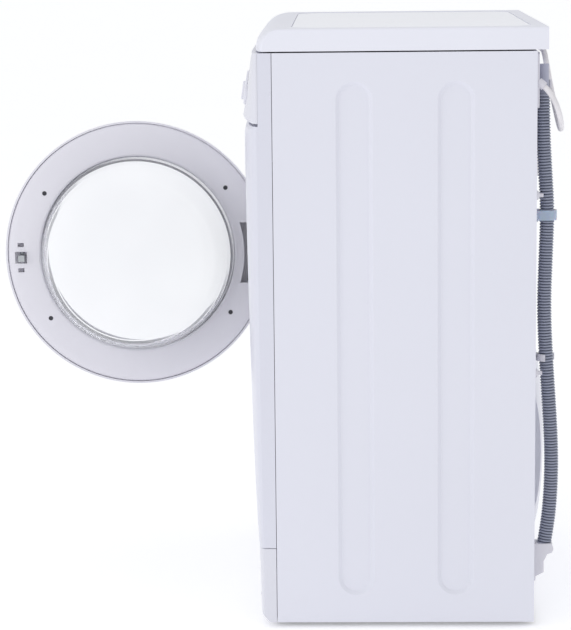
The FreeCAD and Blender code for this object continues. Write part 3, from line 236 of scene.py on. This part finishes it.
# %% Finish helpers
class Finish:
    """A Principled material with helpers that add drift, grain and gloss changes."""

    def __init__(self, name, colour, rough, metallic=0.0, specular=0.5):
        self.material = bpy.data.materials.new(name)
        self.material.use_nodes = True
        self.tree = self.material.node_tree
        self.shader = self.tree.nodes["Principled BSDF"]
        self.colour = colour
        self.set("Base Color", (*colour, 1))
        self.set("Roughness", rough)
        self.set("Metallic", metallic)
        self.set("Specular IOR Level", specular)
        self.coordinates = self.tree.nodes.new("ShaderNodeTexCoord")
        self.height = None

    def set(self, socket, value):
        self.shader.inputs[socket].default_value = value
        return self

    def link(self, a, b):
        self.tree.links.new(a, b)

    def noise(self, scale, detail=3.0, stretch=(1, 1, 1), rough=0.5):
        """Noise over the piece; scale is in features a metre."""
        mapping = self.tree.nodes.new("ShaderNodeMapping")
        mapping.inputs["Scale"].default_value = stretch
        self.link(self.coordinates.outputs["Object"], mapping.inputs["Vector"])
        node = self.tree.nodes.new("ShaderNodeTexNoise")
        node.inputs["Scale"].default_value = scale
        node.inputs["Detail"].default_value = detail
        node.inputs["Roughness"].default_value = rough
        self.link(mapping.outputs["Vector"], node.inputs["Vector"])
        return node.outputs["Fac"]

    def ramp(self, value, low, high, start=0.3, end=0.7):
        """Colours from low to high as the value goes from start to end."""
        node = self.tree.nodes.new("ShaderNodeValToRGB")
        first, last = node.color_ramp.elements
        first.position, last.position = start, end
        first.color, last.color = (*low, 1), (*high, 1)
        self.link(value, node.inputs["Fac"])
        return node.outputs["Color"]

    def maths(self, operation, a, b=0):
        """One step of arithmetic on numbers or on other nodes' outputs."""
        node = self.tree.nodes.new("ShaderNodeMath")
        node.operation = operation
        for socket, value in zip(node.inputs, (a, b)):
            if isinstance(value, (int, float)):
                socket.default_value = value
            else:
                self.link(value, socket)
        return node.outputs[0]

    def place(self):
        """Where a point is on the model: its X, Y and Z, in metres."""
        split = self.tree.nodes.new("ShaderNodeSeparateXYZ")
        self.link(self.coordinates.outputs["Object"], split.inputs["Vector"])
        return [split.outputs[axis] for axis in "XYZ"]

    def blend(self, share, first, second):
        """Colours the piece from first to second as the share goes from 0 to 1."""
        node = self.tree.nodes.new("ShaderNodeMixRGB")
        for socket, value in zip(("Fac", "Color1", "Color2"), (share, first, second)):
            if isinstance(value, tuple):
                node.inputs[socket].default_value = (*value, 1)
            else:
                self.link(value, node.inputs[socket])
        self.link(node.outputs["Color"], self.shader.inputs["Base Color"])
        return self

    def drift(self, scale, amount, stretch=(1, 1, 1)):
        """The colour wanders by a share of itself, over patches of 1/scale metres."""
        low = [c * (1 - amount) for c in self.colour]
        high = [min(1.0, c * (1 + amount)) for c in self.colour]
        self.link(self.ramp(self.noise(scale, 2.0, stretch), low, high),
                  self.shader.inputs["Base Color"])
        return self

    def gloss(self, scale, low, high, stretch=(1, 1, 1)):
        """The roughness wanders between two values."""
        node = self.tree.nodes.new("ShaderNodeMapRange")
        node.inputs["From Min"].default_value = 0.3
        node.inputs["From Max"].default_value = 0.7
        node.inputs["To Min"].default_value = low
        node.inputs["To Max"].default_value = high
        self.link(self.noise(scale, 3.0, stretch), node.inputs["Value"])
        self.link(node.outputs["Result"], self.shader.inputs["Roughness"])
        return self

    def grain(self, scale, strength, distance=0.0004, stretch=(1, 1, 1), detail=2.0):
        """A fine relief; a second call adds another on top of the first."""
        bump = self.tree.nodes.new("ShaderNodeBump")
        bump.inputs["Strength"].default_value = strength
        bump.inputs["Distance"].default_value = distance
        self.link(self.noise(scale, detail, stretch), bump.inputs["Height"])
        if self.height is not None:
            self.link(self.height, bump.inputs["Normal"])
        self.height = bump.outputs["Normal"]
        self.link(self.height, self.shader.inputs["Normal"])
        return self


def enamel(name, colour, rough=0.34):
    """Baked white enamel on sheet steel: satin, with a faint orange peel."""
    coat = Finish(name, colour, rough, specular=0.45)
    coat.drift(2.2, 0.012).gloss(5.0, rough - 0.03, rough + 0.05)
    coat.grain(520, 0.05, 0.0002).grain(90, 0.03, 0.0004)
    return coat.material


def moulded(name, colour, rough=0.4, grain=0.10, scale=1500):
    """Injection-moulded plastic with a spark-eroded grain."""
    plastic = Finish(name, colour, rough, specular=0.45)
    plastic.drift(3.0, 0.015).gloss(9.0, rough - 0.04, rough + 0.06)
    plastic.grain(scale, grain, 0.0002)
    return plastic.material


def metal(name, colour, rough, stretch=(1, 1, 1), scale=300, streak=0.12):
    """Bare or plated metal whose gloss runs in streaks along the way it was worked."""
    made = Finish(name, colour, rough, metallic=1.0)
    made.drift(40, 0.06, stretch).gloss(scale, rough - 0.08, rough + 0.10, stretch)
    made.grain(scale * 2, streak, 0.0001, stretch)
    return made.material


def rubber(name, colour, rough=0.62):
    """Soft rubber: dull, with a pale bloom in patches."""
    made = Finish(name, colour, rough, specular=0.35)
    made.drift(25, 0.16).gloss(60, rough - 0.08, rough + 0.10).grain(900, 0.18, 0.0003)
    return made.material


# %% [markdown]
# ## The whites and greys of this machine
# The steel panels, the plastic lid, the fascia and the door are all called white, but each
# takes the light its own way, so each has its own colour and gloss.

# %% Finishes of the parts
PANEL_WHITE = (0.745, 0.750, 0.830)
FLANK_WHITE = (0.700, 0.705, 0.790)
LID_WHITE = (0.790, 0.795, 0.870)
DOOR_WHITE = (0.780, 0.768, 0.830)
FITTING_GREY = (0.66, 0.65, 0.71)

finishes = {
    "painted_steel": enamel("panel_enamel", PANEL_WHITE),
    "front_enamel": enamel("front_enamel", FLANK_WHITE, 0.30),
    "lid_plastic": moulded("lid_plastic", LID_WHITE, 0.42, 0.16, 1300),
    "lid_board": moulded("lid_laminate", (0.925, 0.930, 0.980), 0.38, 0.20, 900),
    "panel_plastic": moulded("fascia_plastic", (0.71, 0.712, 0.78), 0.33, 0.06),
    "control_plastic": moulded("control_plastic", (0.79, 0.79, 0.85), 0.30, 0.05),
    "tray_plastic": moulded("tray_plastic", (0.50, 0.56, 0.66), 0.45, 0.10),
    "door_plastic": moulded("door_plastic", DOOR_WHITE, 0.36, 0.12, 1700),
    "zinc": metal("zinc_plate", (0.46, 0.48, 0.50), 0.38, (1, 1, 6), 120),
    "dark_metal": enamel("dark_coat", (0.085, 0.095, 0.115), 0.42),
    "tub_plastic": moulded("tub_plastic", (0.36, 0.38, 0.42), 0.55, 0.25, 700),
    "cast": metal("cast_iron", (0.18, 0.18, 0.19), 0.62, (1, 1, 1), 200, 0.6),
    "alloy": metal("die_cast_alloy", (0.52, 0.53, 0.55), 0.45, (1, 1, 1), 260, 0.3),
    "rubber_grey": rubber("boot_rubber", (0.26, 0.27, 0.30)),
    "rubber_black": rubber("black_rubber", (0.028, 0.028, 0.030)),
    "lead_white": rubber("lead_sheath", (0.74, 0.72, 0.745), 0.45),
    "fitting_plastic": moulded("fitting_plastic", FITTING_GREY, 0.42, 0.12),
}


def glass_finish():
    """Clear moulded glass with a faint cool tint and slow ripples from its mould."""
    glass = Finish("door_glass", (0.96, 0.965, 0.985), 0.03)
    glass.set("Transmission Weight", 0.88).set("IOR", 1.05).set("Coat Weight", 0.12)
    glass.drift(6, 0.02).gloss(12, 0.03, 0.07).grain(18, 0.10, 0.0008)
    return glass.material


DRUM_MIDDLE = 0.4696     # the axis's height
DRUM_WALL = 0.228        # the holes are farther from the axis than this
HOLE_ROWS = 84           # round the drum
HOLE_PITCH = 0.017       # along it
HOLE_SHARE = 0.18        # of a cell, to the hole's edge
# painted shade: the holes are coloured near black for the dark space seen through them
HOLE_SHADE = (0.012, 0.012, 0.014)


def drum_holes(steel):
    """1 inside the staggered holes of the drum's wall, and 0 outside them."""
    maths = steel.maths
    x, y, z = steel.place()
    height = maths("SUBTRACT", z, DRUM_MIDDLE)
    around = maths("MULTIPLY", maths("ARCTAN2", height, x), HOLE_ROWS / (2 * math.pi))
    along = maths("MULTIPLY", y, 1 / HOLE_PITCH)
    shift = maths("MULTIPLY", maths("PINGPONG", maths("FLOOR", along), 1), 0.5)
    u = maths("SUBTRACT", maths("FRACT", maths("ADD", around, shift)), 0.5)
    v = maths("SUBTRACT", maths("FRACT", along), 0.5)
    off = maths("SQRT", maths("ADD", maths("MULTIPLY", u, u), maths("MULTIPLY", v, v)))
    radius = maths("SQRT", maths("ADD", maths("MULTIPLY", height, height),
                                 maths("MULTIPLY", x, x)))
    wall = maths("GREATER_THAN", radius, DRUM_WALL)
    return maths("MULTIPLY", maths("LESS_THAN", off, HOLE_SHARE), wall)


def drum_finish():
    """Brushed stainless steel with rows of holes in the drum's wall, painted near black as the
    shade seen through them.
    """
    steel = Finish("drum_steel", (0.60, 0.61, 0.63), 0.26, metallic=1.0)
    along = (1, 30, 1)
    brushed = steel.ramp(steel.noise(60, 2.0, along), (0.56, 0.57, 0.59), (0.64, 0.65, 0.67))
    steel.blend(drum_holes(steel), brushed, HOLE_SHADE)
    steel.gloss(60, 0.18, 0.34, along).grain(120, 0.10, 0.0001, along)
    return steel.material


def strap_finish():
    """Translucent bluish nylon."""
    strap = Finish("strap_nylon", (0.60, 0.66, 0.82), 0.35)
    strap.set("Transmission Weight", 0.35).set("Subsurface Weight", 0.2)
    strap.drift(60, 0.08).grain(700, 0.15, 0.0003)
    return strap.material


def display_finish():
    """Smoked acrylic, glossy, with faint mould flow lines."""
    window = Finish("smoked_acrylic", (0.02, 0.022, 0.026), 0.08)
    window.drift(30, 0.2, (1, 1, 8)).gloss(40, 0.05, 0.14)
    return window.material


CUFF_FROM, CUFF_FULL = 0.748, 0.775     # heights between which the hose turns into its cuff


def hose_finish():
    """Blown plastic: its crests painted pale as a highlight and the hollows between them
    painted dark as shade, and paler on its cuff.
    """
    hose = Finish("hose_plastic", (0.25, 0.27, 0.35), 0.42)
    shape = hose.tree.nodes.new("ShaderNodeNewGeometry")
    # painted light: convex crests are coloured pale as a highlight and the hollows between
    # them dark as shade
    crest_highlight_valley_shade = hose.ramp(shape.outputs["Pointiness"], (0.045, 0.055, 0.085),
                       (0.30, 0.32, 0.41), 0.44, 0.56)
    cuff = hose.ramp(hose.noise(14), (0.36, 0.37, 0.47), (0.44, 0.45, 0.56))
    height = hose.tree.nodes.new("ShaderNodeMapRange")
    height.inputs["From Min"].default_value = CUFF_FROM
    height.inputs["From Max"].default_value = CUFF_FULL
    hose.link(hose.place()[2], height.inputs["Value"])
    hose.blend(height.outputs["Result"], crest_highlight_valley_shade, cuff)
    hose.gloss(30, 0.38, 0.50).grain(900, 0.15, 0.0002)
    return hose.material


finishes["hose_grey"] = hose_finish()
finishes["door_glass"] = glass_finish()
finishes["strap_plastic"] = strap_finish()
finishes["stainless"] = drum_finish()
finishes["display"] = display_finish()
slot_of = {part["node"]: part["material_slot"] for part in frame["record"]["subparts"]}
for name, node in nodes.items():
    node.data.materials.clear()
    node.data.materials.append(finishes[slot_of[name]])
lead.data.materials.append(finishes["lead_white"])
# painted shade: the door screws are coloured near black for the shade in their recessed holes
screw_recess_shade = metal("screws_painted_recess_shade", (0.07, 0.07, 0.08), 0.40, (1, 1, 1), 700, 0.3)
nodes["door_screws"].data.materials[0] = screw_recess_shade
print("gave", len(nodes), "nodes a finish out of", len(finishes))

# %% [markdown]
# ## The drain hose
# A drain hose is blown plastic with a ridge every few millimetres, so it bends without
# kinking, and its end is a smooth cuff. A wavy line is spun into a straight corrugated tube,
# and each of its rings is then carried to its place on the hose's spline.

# %% Drain hose
RIDGE_PITCH = 0.0041
RIDGE_STEPS = 6
RIDGE_DEPTH = 0.0017
CUFF_LENGTH = 0.040
CUFF_RADIUS = 0.0082
HOSE_WALL = 0.0012
HOSE_OUTER = 0.0103


def spline_points(route, name):
    """Points read from a smooth NURBS spline through a given route."""
    guide = spline_curve(name, route, 0)
    guide.data.resolution_u = 24
    guide.data.splines[0].resolution_u = 24
    mesh = bpy.data.meshes.new_from_object(guide)
    points = [v.co.copy() for v in mesh.vertices]
    bpy.data.objects.remove(guide)
    bpy.data.meshes.remove(mesh)
    return points


def path_frames(points):
    """Arc length, place and two cross directions at each point of a path."""
    frames = []
    side = Vector((1, 0, 0))
    travelled = 0.0
    for i, point in enumerate(points):
        ahead = points[min(i + 1, len(points) - 1)] - points[max(i - 1, 0)]
        ahead.normalize()
        side = (side - ahead * side.dot(ahead)).normalized()
        if i:
            travelled += (point - points[i - 1]).length
        frames.append((travelled, point, side.copy(), ahead.cross(side)))
    return frames


def carried(frames, distance, x, y):
    """A point x, y across the path at a distance along it."""
    last = len(frames) - 2
    i = 0
    while i < last and frames[i + 1][0] < distance:
        i += 1
    a, b = frames[i], frames[i + 1]
    share = (distance - a[0]) / (b[0] - a[0])
    place = a[1].lerp(b[1], share)
    side = a[2].lerp(b[2], share).normalized()
    up = a[3].lerp(b[3], share).normalized()
    return place + side * x + up * y


def hose_outline(length):
    """Outer wall, cuff, open mouth and inner wall, as radius and distance along the hose."""
    points = []
    ridged = length - CUFF_LENGTH
    count = int(ridged / RIDGE_PITCH)
    for i in range(count * RIDGE_STEPS + 1):
        wave = 0.5 + 0.5 * math.cos(2 * math.pi * i / RIDGE_STEPS)
        radius = HOSE_OUTER - RIDGE_DEPTH * wave ** 1.6
        points.append((radius, i * RIDGE_PITCH / RIDGE_STEPS))
    start = count * RIDGE_PITCH
    for share, radius in ((0.12, CUFF_RADIUS + 0.0006), (0.25, CUFF_RADIUS + 0.0002),
                          (0.5, CUFF_RADIUS), (0.75, CUFF_RADIUS), (0.93, CUFF_RADIUS),
                          (0.97, CUFF_RADIUS + 0.0005), (1.0, CUFF_RADIUS + 0.0003)):
        points.append((radius, start + share * (length - start)))
    inner = CUFF_RADIUS - HOSE_WALL
    points.append((inner, length))
    points += [(inner, length * (1 - i / 60)) for i in range(1, 61)]
    return points


def drain_hose():
    """Spins the straight hose, then carries each of its points to the spline."""
    path = spline_points(HOSE_ROUTE, "hose_guide")
    frames = path_frames(path)
    length = frames[-1][0]
    bm = bmesh.new()
    spun(bm, [(r, 0, z) for r, z in hose_outline(length)], (0, 0, 0), (0, 0, 1), 28)
    for vert in bm.verts:
        vert.co = carried(frames, min(vert.co.z, length), vert.co.x, vert.co.y)
    hose = piece_from(bm, "drain_hose_tube", "cabinet", finishes["hose_grey"],
                      angle=75)
    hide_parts("drain_hose")
    print("hose is %.3f m long" % length)
    return hose


hose = drain_hose()

# %% [markdown]
# ## Studio
# A seamless pale floor, one large soft light over the camera, a second that rakes along the
# side, and an even white sky give the machine its gentle shading.

# %% Floor and lights
FLOOR_WHITE = (0.93, 0.93, 0.94)


def studio_floor():
    """A wide pale sheet of paper that glows a little."""
    bm = bmesh.new()
    bmesh.ops.create_grid(bm, x_segments=8, y_segments=8, size=90)
    mesh = bpy.data.meshes.new("studio_floor")
    bm.to_mesh(mesh)
    bm.free()
    floor = bpy.data.objects.new("studio_floor", mesh)
    bpy.context.collection.objects.link(floor)
    paper = Finish("backdrop_paper", FLOOR_WHITE, 0.9, specular=0.1)
    paper.drift(0.8, 0.004)
    paper.set("Emission Color", (1, 1, 1, 1)).set("Emission Strength", 0.26)
    floor.data.materials.append(paper.material)
    return floor


def soft_light(name, place, target, size, power):
    """A rectangular area light turned towards its target."""
    data = bpy.data.lights.new(name, "AREA")
    data.shape = "RECTANGLE"
    data.size, data.size_y = size
    data.energy = power
    light = bpy.data.objects.new(name, data)
    bpy.context.collection.objects.link(light)
    light.location = place
    light.rotation_euler = (Vector(target) - Vector(place)).to_track_quat("-Z", "Y").to_euler()
    return light


def sky(strength, tint):
    """An even light from everywhere."""
    world = bpy.data.worlds.new("studio_sky")
    world.use_nodes = True
    back = world.node_tree.nodes["Background"]
    back.inputs["Color"].default_value = (*tint, 1)
    back.inputs["Strength"].default_value = strength
    bpy.context.scene.world = world


studio_floor()
sky(0.80, (0.98, 0.99, 1.0))
soft_light("over_camera", (3.2, -1.2, 2.6), (0, 0, 0.45), (2.4, 2.4), 6)
soft_light("top_light", (0.4, 0.2, 3.2), (0, 0, 0.6), (3.0, 3.0), 6)
soft_light("rake_light", (1.6, -2.8, 1.4), (0.2, -0.2, 0.5), (1.4, 2.2), 10)
bpy.context.scene.view_settings.view_transform = "Standard"
bpy.context.scene.view_settings.look = "None"
print("studio is lit")

# %% [markdown]
# ## Bringing the scene up to date
# The view layer is updated once all the pieces are in place.

# %% Update the scene
bpy.context.view_layer.update()
